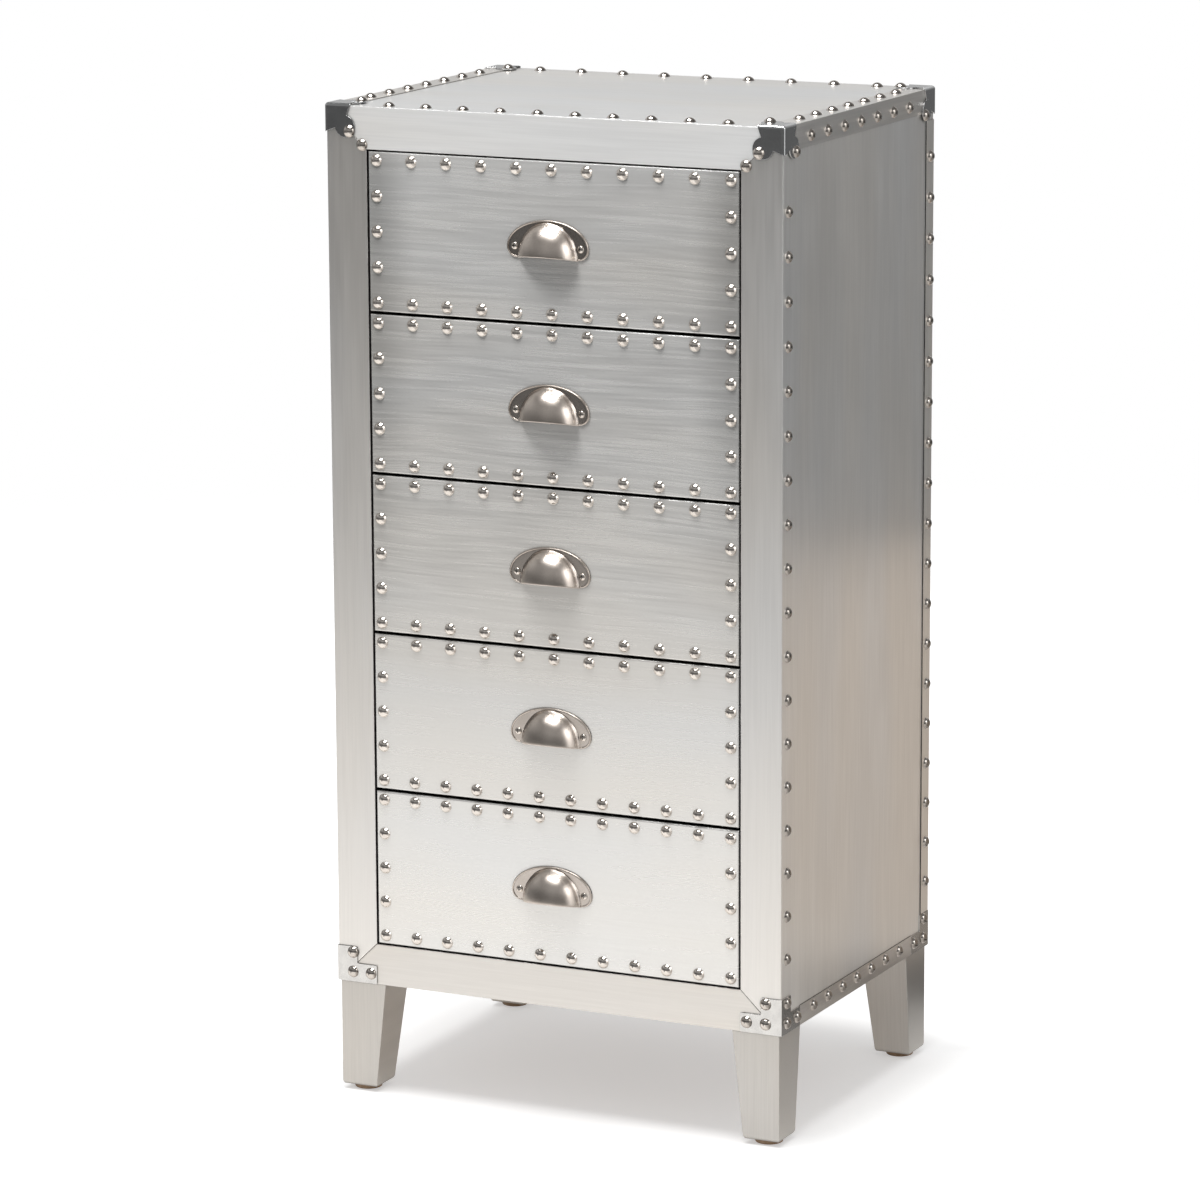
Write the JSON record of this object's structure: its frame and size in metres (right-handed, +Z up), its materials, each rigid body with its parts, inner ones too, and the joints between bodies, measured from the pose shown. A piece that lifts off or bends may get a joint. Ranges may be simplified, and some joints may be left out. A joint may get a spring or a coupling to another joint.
{
  "type": "accent chest",
  "caption": "Tall narrow chest of drawers clad in brushed aluminium, with nailed edges, steel corner caps, cup pulls and tapered legs.",
  "frame": {"origin": "on the floor, under the middle of the whole object's box", "axes": "+X to the right seen from the front, front faces -Y, +Z up"},
  "size_m": [0.452, 0.3624, 0.909],
  "materials": {
    "brushed_aluminium": "brushed",
    "dark_steel": "polished",
    "zinc_steel": "satin",
    "polished_nickel": "polished",
    "satin_nickel": "satin",
    "carcass_wood": "raw board",
    "back_board": "raw plywood",
    "drawer_wood": "sanded",
    "plywood": "sanded",
    "runner_wood": "waxed",
    "glide_plastic": "smooth"
  },
  "bodies": {
    "carcass": {"top_sheet": "brushed_aluminium", "left_side_sheet": "brushed_aluminium", "right_side_sheet": "brushed_aluminium", "left_stile_sheet": "brushed_aluminium", "right_stile_sheet": "brushed_aluminium", "top_rail_sheet": "brushed_aluminium", "bottom_rail_sheet": "brushed_aluminium", "top_edge_angles": "brushed_aluminium", "rear_edge_angles": "brushed_aluminium", "bottom_edge_strips": "brushed_aluminium", "leg_sheets": "brushed_aluminium", "top_corner_caps": "dark_steel", "bottom_corner_brackets": "zinc_steel", "leg_bolts": "zinc_steel", "carcass_nails": "polished_nickel", "left_side_panel": "carcass_wood", "right_side_panel": "carcass_wood", "top_panel": "carcass_wood", "bottom_panel": "carcass_wood", "front_stiles": "carcass_wood", "front_rails": "carcass_wood", "leg_cores": "carcass_wood", "back_panel": "back_board", "drawer_runners": "runner_wood", "foot_glides": "glide_plastic"},
    "drawer_1": {"drawer_1_front": "carcass_wood", "drawer_1_front_sheet": "brushed_aluminium", "drawer_1_box": "drawer_wood", "drawer_1_bottom": "plywood", "drawer_1_pull": "satin_nickel", "drawer_1_pull_screws": "satin_nickel", "drawer_1_nails": "polished_nickel"},
    "drawer_2": {"drawer_2_front": "carcass_wood", "drawer_2_front_sheet": "brushed_aluminium", "drawer_2_box": "drawer_wood", "drawer_2_bottom": "plywood", "drawer_2_pull": "satin_nickel", "drawer_2_pull_screws": "satin_nickel", "drawer_2_nails": "polished_nickel"},
    "drawer_3": {"drawer_3_front": "carcass_wood", "drawer_3_front_sheet": "brushed_aluminium", "drawer_3_box": "drawer_wood", "drawer_3_bottom": "plywood", "drawer_3_pull": "satin_nickel", "drawer_3_pull_screws": "satin_nickel", "drawer_3_nails": "polished_nickel"},
    "drawer_4": {"drawer_4_front": "carcass_wood", "drawer_4_front_sheet": "brushed_aluminium", "drawer_4_box": "drawer_wood", "drawer_4_bottom": "plywood", "drawer_4_pull": "satin_nickel", "drawer_4_pull_screws": "satin_nickel", "drawer_4_nails": "polished_nickel"},
    "drawer_5": {"drawer_5_front": "carcass_wood", "drawer_5_front_sheet": "brushed_aluminium", "drawer_5_box": "drawer_wood", "drawer_5_bottom": "plywood", "drawer_5_pull": "satin_nickel", "drawer_5_pull_screws": "satin_nickel", "drawer_5_nails": "polished_nickel"}
  },
  "joints": [
    {"name": "drawer_1_slide", "type": "slide", "parent": "carcass", "child": "drawer_1", "axis": [0, -1, 0], "range_m": [0, 0.24]},
    {"name": "drawer_2_slide", "type": "slide", "parent": "carcass", "child": "drawer_2", "axis": [0, -1, 0], "range_m": [0, 0.24]},
    {"name": "drawer_3_slide", "type": "slide", "parent": "carcass", "child": "drawer_3", "axis": [0, -1, 0], "range_m": [0, 0.24]},
    {"name": "drawer_4_slide", "type": "slide", "parent": "carcass", "child": "drawer_4", "axis": [0, -1, 0], "range_m": [0, 0.24]},
    {"name": "drawer_5_slide", "type": "slide", "parent": "carcass", "child": "drawer_5", "axis": [0, -1, 0], "range_m": [0, 0.24]}
  ]
}
